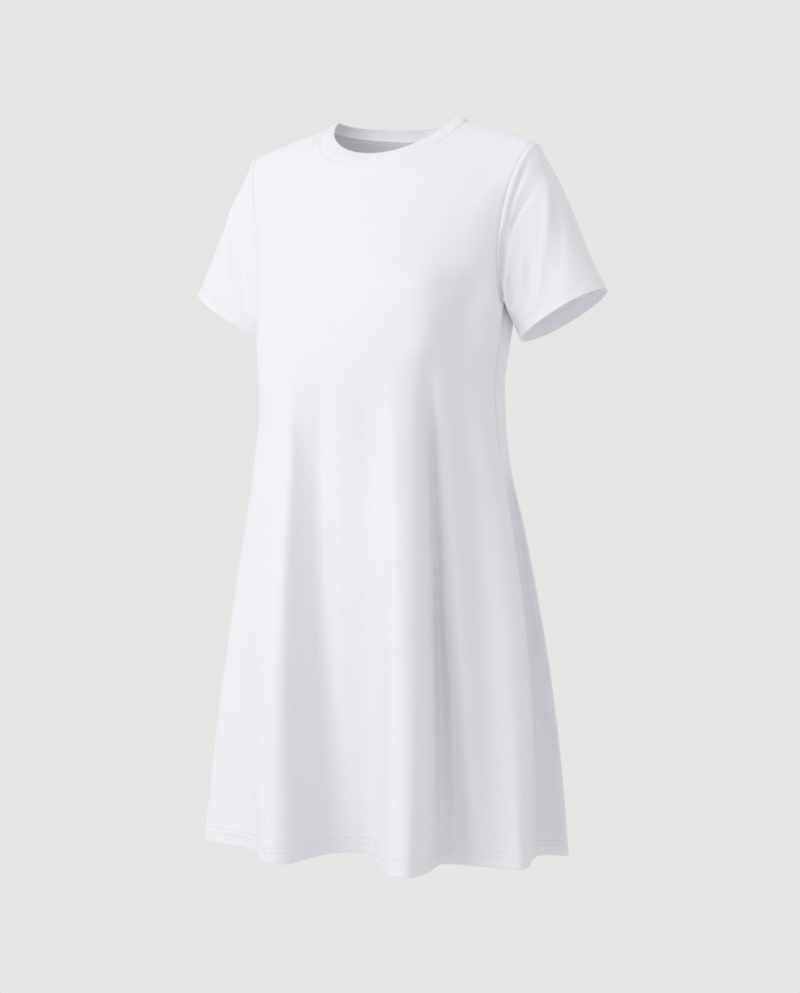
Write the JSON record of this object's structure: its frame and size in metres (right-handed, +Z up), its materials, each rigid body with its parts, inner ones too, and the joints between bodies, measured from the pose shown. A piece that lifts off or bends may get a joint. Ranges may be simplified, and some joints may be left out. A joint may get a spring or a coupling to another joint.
{
  "type": "t-shirt dress",
  "caption": "Short-sleeved A-line jersey dress, worn and hollow, with a round neckband, set-in sleeves, turned hems and a flared skirt in deep soft folds.",
  "frame": {"origin": "middle of the neck opening at the high point of the shoulders, where the wearer carries the dress", "axes": "+Z up along the wearer, the front faces -Y, the wearer's left is +X"},
  "size_m": [0.568, 0.3176, 0.9079],
  "materials": {
    "jersey": "matte",
    "neckband": "matte"
  },
  "bodies": {
    "root": {"front": "jersey", "back": "jersey", "sleeve_left": "jersey", "sleeve_right": "jersey", "neckband": "neckband"}
  },
  "joints": []
}
